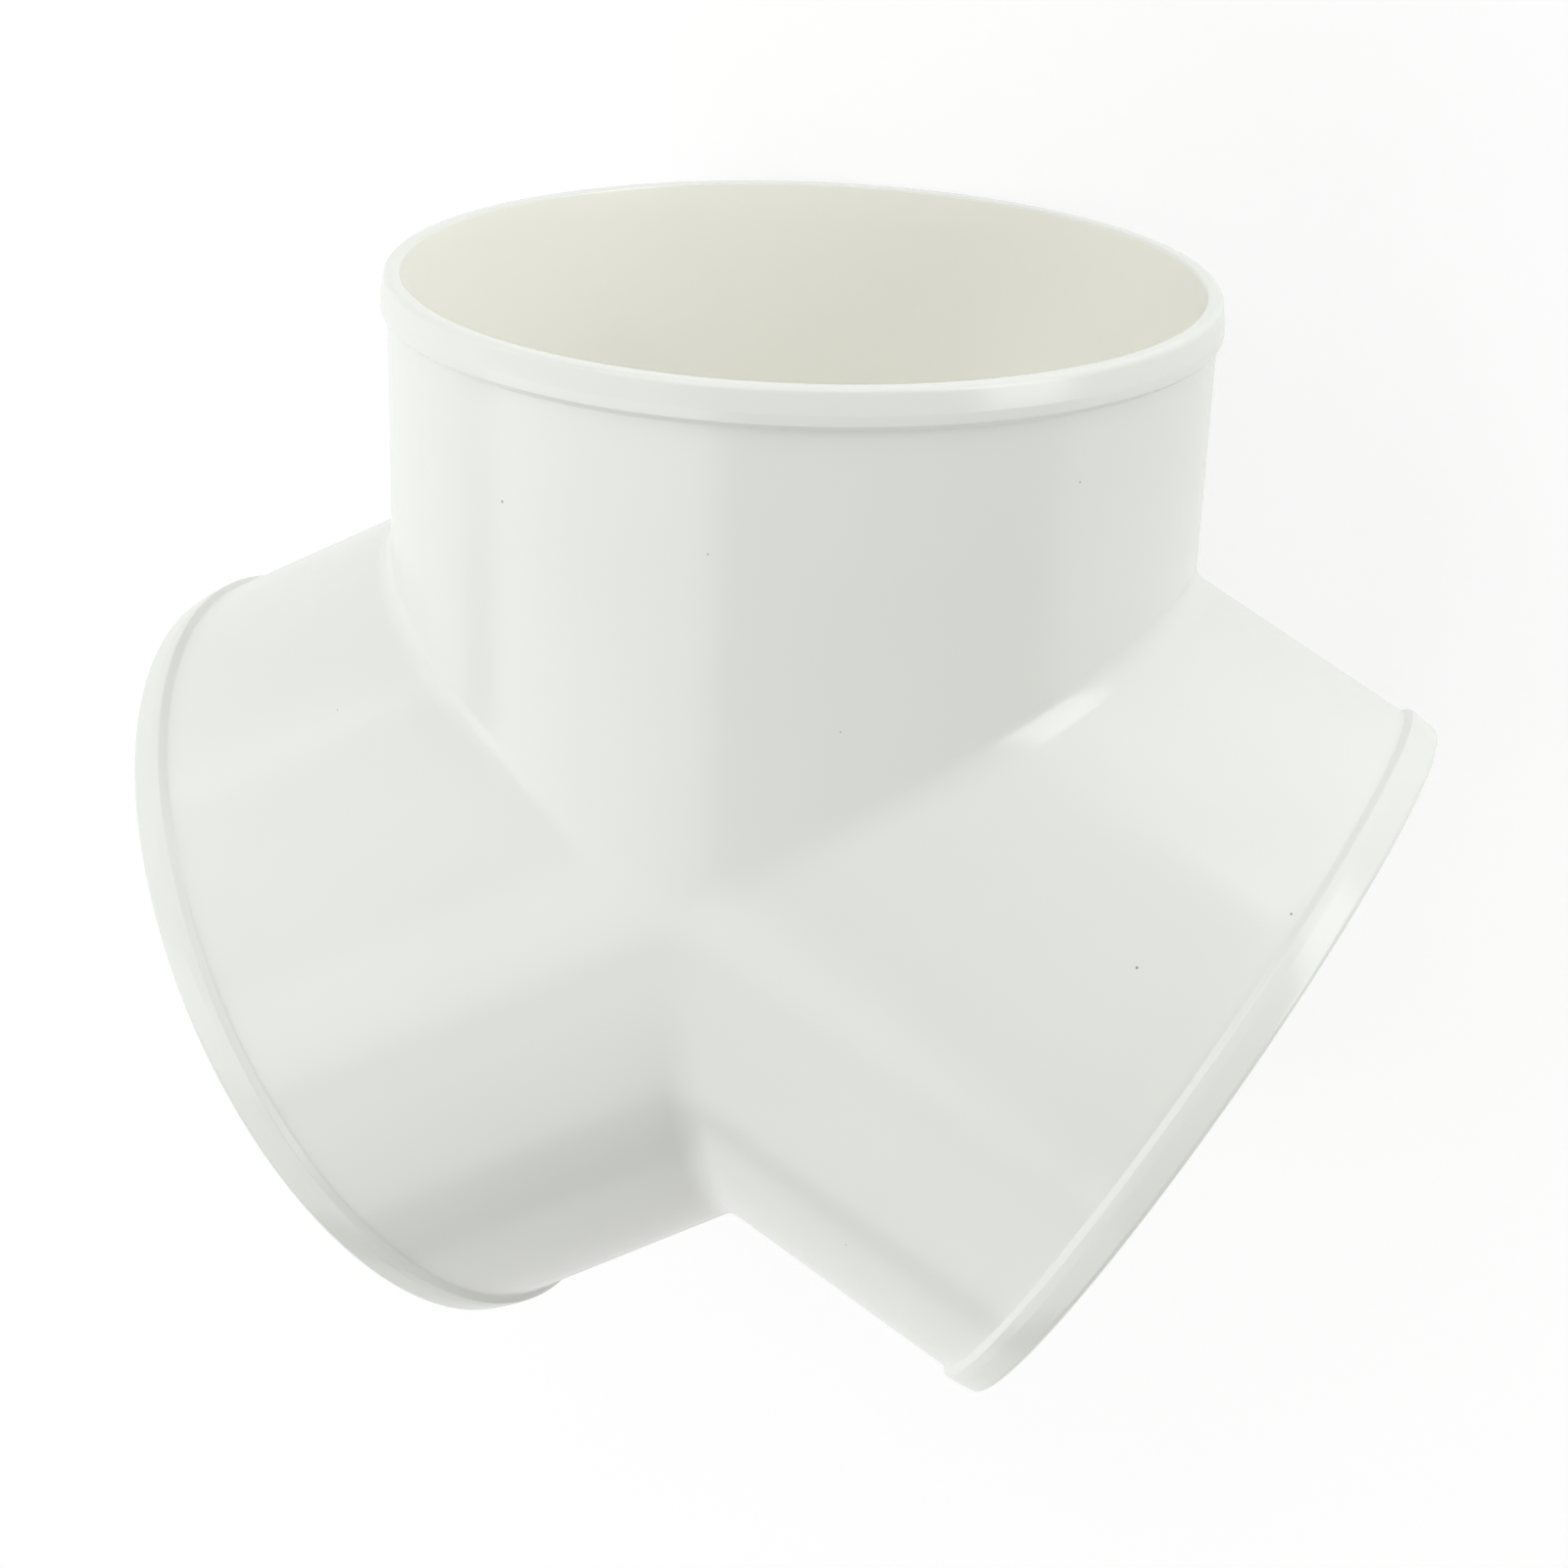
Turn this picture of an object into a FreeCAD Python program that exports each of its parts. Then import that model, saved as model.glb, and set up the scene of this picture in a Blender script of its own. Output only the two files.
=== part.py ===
import FreeCAD, Part
import math
import os

# Duct Y branch, moulded in one piece. Three equal round collars meet in one plane, and each
# ends in a low bead that a duct is pushed over. The branch lies flat: Z is square to the plane
# of the three axes, the stem points along +Y, and the axes meet at the origin.

# Driving dimensions, in millimetres and degrees
BRANCH_ANGLE = 120.0        # between the stem's axis and each branch's axis
ARM_LENGTH = 62.5           # from the point where the axes meet to a mouth
COLLAR_RADIUS = 49.0        # outside of the collar where it would reach the mouth
WALL = 1.6                  # wall of the collar, square to its axis
DRAFT_ANGLE = 1.0           # the collar narrows inwards by this much on each side
BEAD_RADIUS = 49.7          # crest of the bead
BEAD_SETBACK = 4.2          # from the mouth to the back edge of the bead's crest
BEAD_CREST = 1.2            # width of the cylindrical crest
BEAD_SHOULDER = 0.9         # length of the slope behind the crest
LIP_RADIUS = 49.3           # where the lead-in slope in front of the crest would reach the mouth
LIP_CHAMFER = 0.8           # on the outer edge of the lip, along and across the axis
VALLEY_ROUND = 4.0          # in the outside valleys between two arms
MITRE_OVERRUN = 5.0         # how far an arm is made past the meeting point before it is mitred

ON_PLANE = 1.0e-4           # an edge this close to a mitre plane lies in it
ORIGIN = FreeCAD.Vector(0, 0, 0)
UP = FreeCAD.Vector(0, 0, 1)
STEM_DIRECTION = 90.0       # angle of the stem's axis in the plane, from +X
CROTCH_DIRECTION = 270.0    # the two branches mirror each other about this direction


def direction(angle, reach=1.0):
    """Vector in the plane of the axes, at an angle from +X."""
    turn = math.radians(angle)
    return FreeCAD.Vector(reach * math.cos(turn), reach * math.sin(turn), 0)


def collar_radius(station):
    """Outside radius of the drafted collar, at a distance along its axis."""
    return COLLAR_RADIUS - (ARM_LENGTH - station) * math.tan(math.radians(DRAFT_ANGLE))


def arm():
    """One collar with its bead and lip, turned about +Y from a single wall section."""
    root = -MITRE_OVERRUN
    crest_back = ARM_LENGTH - BEAD_SETBACK
    crest_front = crest_back + BEAD_CREST
    shoulder_foot = crest_back - BEAD_SHOULDER
    lead_in_slope = (BEAD_RADIUS - LIP_RADIUS) / (ARM_LENGTH - crest_front)
    section = [
        (collar_radius(root), root),
        (collar_radius(shoulder_foot), shoulder_foot),
        (BEAD_RADIUS, crest_back),
        (BEAD_RADIUS, crest_front),
        (LIP_RADIUS + lead_in_slope * LIP_CHAMFER, ARM_LENGTH - LIP_CHAMFER),
        (LIP_RADIUS - LIP_CHAMFER, ARM_LENGTH),
        (collar_radius(ARM_LENGTH) - WALL, ARM_LENGTH),
        (collar_radius(root) - WALL, root),
    ]
    corners = [FreeCAD.Vector(radius, station, 0) for radius, station in section]
    wall = Part.Face(Part.makePolygon(corners + corners[:1]))
    return wall.revolve(ORIGIN, FreeCAD.Vector(0, 1, 0), 360)


def sector(start, end):
    """Block that fills the plane between two angles, taller than any arm."""
    reach = 2 * (ARM_LENGTH + BEAD_RADIUS)
    middle = (start + end) / 2
    corners = [ORIGIN, direction(start, reach), direction(middle, reach), direction(end, reach), ORIGIN]
    outline = Part.Face(Part.makePolygon(corners))
    outline.translate(UP * -reach)
    return outline.extrude(UP * (2 * reach))


def lies_in_plane(edge, angle):
    """True when an edge lies in the upright plane through the origin at an angle from +X."""
    normal = direction(angle + 90)
    return all(abs(point.dot(normal)) < ON_PLANE for point in edge.discretize(9))


def valley_edges(body, mitres):
    """Outside edges where two arms meet: they rise to the collars' radius, inside edges less."""
    edges = [edge for edge in body.Edges if any(lies_in_plane(edge, angle) for angle in mitres)]
    lowest = collar_radius(0) - WALL / 2
    return [edge for edge in edges if max(edge.BoundBox.ZMax, -edge.BoundBox.ZMin) > lowest]


def y_branch():
    """Three arms, mitred where they meet and joined into one body with its valleys rounded."""
    right_mitre = STEM_DIRECTION - BRANCH_ANGLE / 2
    left_mitre = STEM_DIRECTION + BRANCH_ANGLE / 2
    turns_and_sectors = [
        (0, right_mitre, left_mitre),
        (BRANCH_ANGLE, left_mitre, CROTCH_DIRECTION),
        (-BRANCH_ANGLE, CROTCH_DIRECTION - 360, right_mitre),
    ]
    arms = []
    for turn, start, end in turns_and_sectors:
        turned = arm()
        turned.rotate(ORIGIN, UP, turn)
        arms.append(turned.common(sector(start, end)))
    body = arms[0].fuse(arms[1:]).removeSplitter().Solids[0]
    valleys = valley_edges(body, [right_mitre, left_mitre, CROTCH_DIRECTION])
    return body.makeFillet(VALLEY_ROUND, valleys).Solids[0]


os.makedirs("parts", exist_ok=True)
branch = y_branch()
branch.exportStep("parts/y_branch_body.step")
print("y_branch_body", branch.ShapeType, "valid", branch.isValid(), "volume", round(branch.Volume, 1))
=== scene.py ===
import math

import bmesh
import bpy
from mathutils import Matrix, Vector


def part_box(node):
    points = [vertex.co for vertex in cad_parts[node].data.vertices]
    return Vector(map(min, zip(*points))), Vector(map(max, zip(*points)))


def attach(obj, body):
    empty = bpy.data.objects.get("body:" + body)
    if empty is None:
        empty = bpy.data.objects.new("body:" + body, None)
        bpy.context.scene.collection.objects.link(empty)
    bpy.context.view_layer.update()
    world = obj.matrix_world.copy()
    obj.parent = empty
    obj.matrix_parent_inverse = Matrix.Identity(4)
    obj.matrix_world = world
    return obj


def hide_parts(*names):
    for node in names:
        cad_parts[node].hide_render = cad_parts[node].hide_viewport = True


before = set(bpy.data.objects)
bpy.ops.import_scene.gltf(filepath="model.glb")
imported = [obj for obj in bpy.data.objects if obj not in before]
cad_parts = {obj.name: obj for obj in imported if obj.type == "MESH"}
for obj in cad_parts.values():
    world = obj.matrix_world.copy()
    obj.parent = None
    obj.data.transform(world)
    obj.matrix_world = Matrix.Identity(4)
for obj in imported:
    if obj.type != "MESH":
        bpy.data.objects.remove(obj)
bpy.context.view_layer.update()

# The fitting, in metres and degrees: what the frame doesn't say repeats the part's own sizes
NODE = "y_branch_body"
ARM_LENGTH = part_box(NODE)[1].y      # the stem's mouth
BEAD_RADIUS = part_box(NODE)[1].z     # crest of the bead, on which the branch lies
FLOOR_HEIGHT = -BEAD_RADIUS
ARM_DIRECTIONS = (90, 210, 330)     # axes of the stem and the two branches, from +X
COLLAR_RADIUS = 0.0490              # outside of the collar where it would reach the mouth
WALL = 0.0016
DRAFT = math.radians(1.0)
BEAD_SETBACK = 0.0042               # from the mouth to the back edge of the bead's crest
BEAD_CREST = 0.0012
LIP_RADIUS = 0.0493                 # where the lead-in slope would reach the mouth
VALLEY_ROUND = 0.0040               # at the outline, and wider towards the middle
VALLEY_RUN_OUT = 0.1                # of the collar's radius: nearer the middle it widens no further
MITRE = math.radians(60)            # between an arm's axis and the plane where it meets its neighbour

# Edges of the moulding, finer than on the solid: the slope behind the bead, and small rounds
BEAD_SHOULDER = 0.0007              # its length along the axis, which is 0.0009 on the solid
FOOT_ROUND = 0.0003
CREST_ROUND = 0.00025
LEAD_IN_ROUND = 0.0012
LIP_OUTER_ROUND = 0.0008
LIP_INNER_ROUND = 0.00035

# Dark specks in the plastic: arm, angle about its axis in degrees, station and radius in millimetres
SPECKS = (
    (90, 62, 44.5, 0.18),
    (90, 93, 43.0, 0.11),
    (90, 144, 49.5, 0.12),
    (90, 111, 23.0, 0.09),
    (90, 75, 60.8, 0.11),
    (90, 75, 61.2, 0.11),
    (330, 60, 45.5, 0.18),
    (330, 42, 56.5, 0.17),
    (330, 124, 38.0, 0.13),
    (210, 136, 33.0, 0.09),
)

# Fineness of the mesh
STEPS_AROUND = 240                  # a multiple of 4, so that neighbours share their edge points
STEPS_VALLEY = 7
STEPS_COLLAR = 14
STEPS_PASSAGE = 12
STEPS_ROUND = 5
MERGE_DISTANCE = 2.0e-6
NO_LEAN = 1.0e-6                    # cosine of an angle that is square to the plane of the axes
INSIDE = "inside"                   # mesh attribute: 1 on the passage's walls, 0 outside
SHARP_ANGLE = math.radians(32)

# The plastic, with the darker and the lighter shade of each tint; the inner tint is painted light
OUTER_TINT = ((0.804, 0.808, 0.769, 1), (0.828, 0.832, 0.795, 1))
# painted light: the passage's walls are painted lighter and warmer, standing in for light that bounces
# inside and comes through the wall
INSIDE_LIGHT_TINT = ((0.918, 0.907, 0.843, 1), (0.934, 0.923, 0.862, 1))
SPECK_TINT = ((0.30, 0.27, 0.23, 1), (0.36, 0.33, 0.29, 1))
REFRACTION = 1.54
ROUGHNESS = (0.18, 0.26)
WAVE_HEIGHT = 0.00006               # of the faint unevenness

# Floor and light
FLOOR_SIZE = 6.0
FLOOR_TINT = (0.82, 0.82, 0.82, 1)
SHADED_TINT = (0.30, 0.30, 0.30, 1)     # share of the shown floor that the fitting shades
FLOOR_GLOW = 0.74                   # share of it that stays white
LAMP_TINT = (0.970, 0.998, 1.0)
LAMP_DISTANCE = 2.4                 # beyond the part of the floor that shows from any side
ROOM_TINT = (1.0, 0.985, 0.935, 1)
ROOM_LEVEL = 0.235

# The picture: the view is given with the stem upright, as the photograph shows it
VIEW_TURN = math.radians(14.12)     # the camera stands this far round to the right of the front
VIEW_RISE = math.radians(21.17)     # and looks this far down into the stem's mouth
VIEW_ROLL = math.radians(2.02)
VIEW_DISTANCE = 0.5078
VIEW_AIM = (-0.0003, -0.0018)       # point aimed at, right of and above the meeting point of the axes
LENS = 94.6                         # millimetres
SENSOR_WIDTH = 36


def collar_radius(station):
    """Outside radius of the drafted collar, at a distance along its axis."""
    return COLLAR_RADIUS - (ARM_LENGTH - station) * math.tan(DRAFT)


def round_corner(before, corner, after, radius):
    """Points of the arc that rounds one corner of a section."""
    back = (before - corner).normalized()
    ahead = (after - corner).normalized()
    half = back.angle(ahead) / 2
    centre = corner + (back + ahead).normalized() * (radius / math.sin(half))
    start = corner + back * (radius / math.tan(half)) - centre
    end = corner + ahead * (radius / math.tan(half)) - centre
    sweep = start.angle_signed(end)
    return [centre + Matrix.Rotation(-sweep * k / STEPS_ROUND, 2) @ start for k in range(STEPS_ROUND + 1)]


def mouth_section():
    """The bead and lip as (radius, station) points, from the foot of the bead round to the inside."""
    crest_back = ARM_LENGTH - BEAD_SETBACK
    crest_front = crest_back + BEAD_CREST
    foot = crest_back - BEAD_SHOULDER
    inside = collar_radius(ARM_LENGTH) - WALL
    corners = [
        (Vector((collar_radius(foot), foot)), FOOT_ROUND),
        (Vector((BEAD_RADIUS, crest_back)), CREST_ROUND),
        (Vector((BEAD_RADIUS, crest_front)), LEAD_IN_ROUND),
        (Vector((LIP_RADIUS, ARM_LENGTH)), LIP_OUTER_ROUND),
        (Vector((inside, ARM_LENGTH)), LIP_INNER_ROUND),
    ]
    ends = [Vector((collar_radius(0), 0)), Vector((collar_radius(0) - WALL, 0))]
    line = [ends[0]] + [corner for corner, radius in corners] + [ends[1]]
    points = []
    for index, (corner, radius) in enumerate(corners, start=1):
        points += round_corner(line[index - 1], corner, line[index + 1], radius)
    return points


def arm_point(radius, station, around):
    """Point of an arm that lies along +X, at an angle about its axis from +Y towards +Z."""
    return Vector((station, radius * math.cos(around), radius * math.sin(around)))


def valley_points(around):
    """Arc of the rounded valley, from the plane of the mitre to where it runs out on the collar."""
    lean = abs(math.cos(around))
    if lean < NO_LEAN:
        return [arm_point(collar_radius(0), 0, around)] * (STEPS_VALLEY + 1)
    ball = VALLEY_ROUND / max(lean, VALLEY_RUN_OUT)
    slope = math.tan(DRAFT)
    reach = (collar_radius(0) + ball * math.cos(DRAFT)) * lean
    rise = math.tan(MITRE) * ball * math.sin(DRAFT)
    station = (reach + rise) / (math.tan(MITRE) - slope * lean)
    contact = arm_point(collar_radius(station), station, around)
    normal = arm_point(math.cos(DRAFT), -math.sin(DRAFT), around)
    centre = contact + normal * ball
    side = math.copysign(1.0, math.cos(around))
    across = Vector((-math.sin(MITRE), side * math.cos(MITRE), 0))
    middle = (-normal + across * normal.dot(across)).normalized()
    turn = middle.rotation_difference(-normal)
    arc = []
    for step in range(STEPS_VALLEY + 1):
        share = Matrix.Rotation(turn.angle * step / STEPS_VALLEY, 3, turn.axis)
        arc.append(centre + ball * (share @ middle))
    return arc


def between(start, end, steps):
    """Points strictly between two others, evenly spaced."""
    return [start.lerp(end, step / steps) for step in range(1, steps)]


def arm_column(around, mouth):
    """All points of an arm at one angle about its axis: valley, collar, bead, lip and passage."""
    valley = valley_points(around)
    bead = [arm_point(radius, station, around) for radius, station in mouth]
    lean = abs(math.cos(around))
    inner = collar_radius(0) - WALL
    ridge_station = inner * lean / (math.tan(MITRE) - math.tan(DRAFT) * lean)
    ridge = arm_point(collar_radius(ridge_station) - WALL, ridge_station, around)
    collar = between(valley[-1], bead[0], STEPS_COLLAR)
    passage = between(bead[-1], ridge, STEPS_PASSAGE)
    return valley + collar + bead + passage + [ridge]


def branch_mesh():
    """The whole moulding as one closed mesh of three like arms that share their edges."""
    mesh = bmesh.new()
    inside = mesh.verts.layers.float.new(INSIDE)
    mouth = mouth_section()
    columns = [arm_column(math.tau * step / STEPS_AROUND, mouth) for step in range(STEPS_AROUND)]
    first_inside = len(columns[0]) - STEPS_PASSAGE - STEPS_ROUND // 2
    for direction in ARM_DIRECTIONS:
        turn = Matrix.Rotation(math.radians(direction), 3, "Z")
        rings = [[mesh.verts.new(turn @ point) for point in column] for column in columns]
        for ring in rings:
            for point in ring[first_inside:]:
                point[inside] = 1.0
        for here, there in zip(rings, rings[1:] + rings[:1]):
            for row in range(len(here) - 1):
                mesh.faces.new((here[row], there[row], there[row + 1], here[row + 1]))
    bmesh.ops.remove_doubles(mesh, verts=mesh.verts, dist=MERGE_DISTANCE)
    bmesh.ops.recalc_face_normals(mesh, faces=mesh.faces)
    return mesh


def branch_piece(material):
    """The fitting as it shows: the same form as the solid, with its small edges rounded."""
    made = branch_mesh()
    data = bpy.data.meshes.new("y_branch")
    made.to_mesh(data)
    made.free()
    data.polygons.foreach_set("use_smooth", [True] * len(data.polygons))
    data.set_sharp_from_angle(angle=SHARP_ANGLE)
    piece = bpy.data.objects.new("y_branch", data)
    bpy.context.scene.collection.objects.link(piece)
    data.materials.append(material)
    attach(piece, "root")
    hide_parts(NODE)


def node(tree, kind, **inputs):
    """A shader node with some of its inputs set."""
    made = tree.nodes.new(kind)
    for name, value in inputs.items():
        made.inputs[name.replace("_", " ")].default_value = value
    return made


def math_node(tree, operation, first, second):
    """Output of a calculation with a socket and a second socket or number."""
    made = tree.nodes.new("ShaderNodeMath")
    made.operation = operation
    tree.links.new(first, made.inputs[0])
    if isinstance(second, float):
        made.inputs[1].default_value = second
    else:
        tree.links.new(second, made.inputs[1])
    return made.outputs["Value"]


def nearest_speck(tree, place):
    """Distance to the nearest speck, in radii of that speck."""
    nearest = None
    for arm, around, station, radius in SPECKS:
        spot = arm_point(collar_radius(station / 1000), station / 1000, math.radians(around))
        away = tree.nodes.new("ShaderNodeVectorMath")
        away.operation = "DISTANCE"
        away.inputs[1].default_value = Matrix.Rotation(math.radians(arm), 3, "Z") @ spot
        tree.links.new(place, away.inputs[0])
        radii = math_node(tree, "DIVIDE", away.outputs["Value"], radius / 1000)
        nearest = radii if nearest is None else math_node(tree, "MINIMUM", nearest, radii)
    return nearest


def tint_ramp(tree, level, dark, light):
    """Colour between two tints, by a noise."""
    ramp = tree.nodes.new("ShaderNodeValToRGB")
    ramp.color_ramp.elements[0].position = 0.3
    ramp.color_ramp.elements[0].color = dark
    ramp.color_ramp.elements[1].position = 0.7
    ramp.color_ramp.elements[1].color = light
    tree.links.new(level, ramp.inputs["Fac"])
    return ramp.outputs["Color"]


def mix_colour(tree, share, first, second):
    """First colour where the share is 0, second where it is 1."""
    mix = tree.nodes.new("ShaderNodeMix")
    mix.data_type = "RGBA"
    sockets = [socket for socket in mix.inputs if socket.type == "RGBA"]
    tree.links.new(share, mix.inputs["Factor"])
    tree.links.new(first, sockets[0])
    tree.links.new(second, sockets[1])
    return next(socket for socket in mix.outputs if socket.type == "RGBA")


def moulded_plastic():
    """Off-white plastic with a soft gloss and dark specks, painted lighter and warmer inside to stand in
    for light that bounces in the passage and comes through the wall.
    """
    material = bpy.data.materials.new("moulded_plastic")
    material.use_nodes = True
    tree = material.node_tree
    shader = tree.nodes["Principled BSDF"]
    shader.inputs["IOR"].default_value = REFRACTION
    place = tree.nodes.new("ShaderNodeTexCoord").outputs["Object"]

    cloud = node(tree, "ShaderNodeTexNoise", Scale=22.0, Detail=3.0)
    tree.links.new(place, cloud.inputs["Vector"])
    level = cloud.outputs["Fac"]
    outer = tint_ramp(tree, level, *OUTER_TINT)
    # painted light: a lighter, warmer tint for the passage's walls
    inner = tint_ramp(tree, level, *INSIDE_LIGHT_TINT)
    speck = tint_ramp(tree, level, *SPECK_TINT)
    inside = tree.nodes.new("ShaderNodeAttribute")
    inside.attribute_name = INSIDE
    # the passage's walls take the painted inside light
    plain = mix_colour(tree, inside.outputs["Fac"], outer, inner)
    clear = node(tree, "ShaderNodeMapRange", From_Min=0.5, From_Max=1.2)
    tree.links.new(nearest_speck(tree, place), clear.inputs["Value"])
    colour = mix_colour(tree, clear.outputs["Result"], speck, plain)
    tree.links.new(colour, shader.inputs["Base Color"])

    sheen = node(tree, "ShaderNodeMapRange", To_Min=ROUGHNESS[0], To_Max=ROUGHNESS[1])
    tree.links.new(level, sheen.inputs["Value"])
    tree.links.new(sheen.outputs["Result"], shader.inputs["Roughness"])

    wave = node(tree, "ShaderNodeTexNoise", Scale=60.0, Detail=1.0)
    tree.links.new(place, wave.inputs["Vector"])
    bump = node(tree, "ShaderNodeBump", Strength=1.0, Distance=WAVE_HEIGHT)
    tree.links.new(wave.outputs["Fac"], bump.inputs["Height"])
    tree.links.new(bump.outputs["Normal"], shader.inputs["Normal"])
    return material


def seen_directly(tree):
    """1 for rays that show the background: to the camera, in a reflection or through glass."""
    path = tree.nodes.new("ShaderNodeLightPath")
    total = path.outputs["Is Camera Ray"]
    for name in ("Is Glossy Ray", "Is Transmission Ray"):
        total = math_node(tree, "MAXIMUM", total, path.outputs[name])
    return total


def floor():
    """White floor that shows the soft shadow of the fitting."""
    bpy.ops.mesh.primitive_plane_add(size=FLOOR_SIZE, location=(0, 0, FLOOR_HEIGHT))
    plane = bpy.context.object
    plane.name = "floor"
    material = bpy.data.materials.new("floor")
    material.use_nodes = True
    tree = material.node_tree
    tree.nodes.remove(tree.nodes["Principled BSDF"])
    plain = node(tree, "ShaderNodeBsdfDiffuse", Color=FLOOR_TINT)
    shadow = node(tree, "ShaderNodeBsdfDiffuse", Color=SHADED_TINT)
    glow = node(tree, "ShaderNodeEmission", Color=(1, 1, 1, 1), Strength=FLOOR_GLOW)
    shown = node(tree, "ShaderNodeAddShader")
    tree.links.new(shadow.outputs["BSDF"], shown.inputs[0])
    tree.links.new(glow.outputs["Emission"], shown.inputs[1])
    mix = node(tree, "ShaderNodeMixShader")
    tree.links.new(seen_directly(tree), mix.inputs["Fac"])
    tree.links.new(plain.outputs["BSDF"], mix.inputs[1])
    tree.links.new(shown.outputs["Shader"], mix.inputs[2])
    tree.links.new(mix.outputs["Shader"], tree.nodes["Material Output"].inputs["Surface"])
    plane.data.materials.append(material)


def upright(turn, rise):
    """Direction given as in the upright picture: round to the right of the front, and up."""
    flat = math.cos(rise)
    return Vector((math.sin(turn) * flat, math.sin(rise), math.cos(turn) * flat))


def softbox(name, turn, rise, width, height, strength):
    """Rectangular lamp that faces the fitting, sized per metre of its distance; strength 1 looks white."""
    lamp = bpy.data.lights.new(name, "AREA")
    lamp.shape = "RECTANGLE"
    lamp.size = width * LAMP_DISTANCE
    lamp.size_y = height * LAMP_DISTANCE
    lamp.energy = strength * math.pi * lamp.size * lamp.size_y
    lamp.color = LAMP_TINT
    toward = upright(math.radians(turn), math.radians(rise))
    across = Vector((0, 1, 0)).cross(toward).normalized()
    above = toward.cross(across)
    holder = bpy.data.objects.new(name, lamp)
    turned = Matrix((across, above, toward)).transposed().to_4x4()
    holder.matrix_world = Matrix.Translation(toward * LAMP_DISTANCE) @ turned
    bpy.context.scene.collection.objects.link(holder)


def studio():
    """Soft light: a wide source at the front left, a tall one at the right, weaker ones and a dim room."""
    softbox("left_low", -42, -16, 1.29, 0.48, 1.78)
    softbox("left_high", -46, 22, 1.09, 0.84, 0.82)
    softbox("far_left", -82, 14, 0.27, 1.24, 1.05)
    softbox("low", -22, -50, 0.95, 0.68, 1.28)
    softbox("right_side", 76, 25, 0.49, 1.05, 3.30)
    softbox("right_top", 62, 68, 0.55, 0.32, 1.20)
    softbox("top_front", -22, 52, 0.73, 0.55, 1.45)
    softbox("top", -20, 77, 0.73, 0.41, 0.95)
    world = bpy.data.worlds.new("room")
    bpy.context.scene.world = world
    world.use_nodes = True
    background = world.node_tree.nodes["Background"]
    background.inputs["Color"].default_value = ROOM_TINT
    background.inputs["Strength"].default_value = ROOM_LEVEL


def camera():
    """The photograph's view, with the stem pointing up in the picture."""
    back = upright(VIEW_TURN, VIEW_RISE)
    level = Vector((math.cos(VIEW_TURN), 0, -math.sin(VIEW_TURN)))
    roll = Matrix.Rotation(VIEW_ROLL, 3, back)
    right = roll @ level
    up = roll @ back.cross(level)
    data = bpy.data.cameras.new("camera")
    data.lens = LENS
    data.sensor_width = SENSOR_WIDTH
    holder = bpy.data.objects.new("camera", data)
    aim = right * VIEW_AIM[0] + up * VIEW_AIM[1]
    turned = Matrix((right, up, back)).transposed().to_4x4()
    holder.matrix_world = Matrix.Translation(aim + back * VIEW_DISTANCE) @ turned
    bpy.context.scene.collection.objects.link(holder)
    bpy.context.scene.camera = holder


branch_piece(moulded_plastic())
floor()
studio()
camera()
bpy.context.scene.view_settings.view_transform = "Standard"
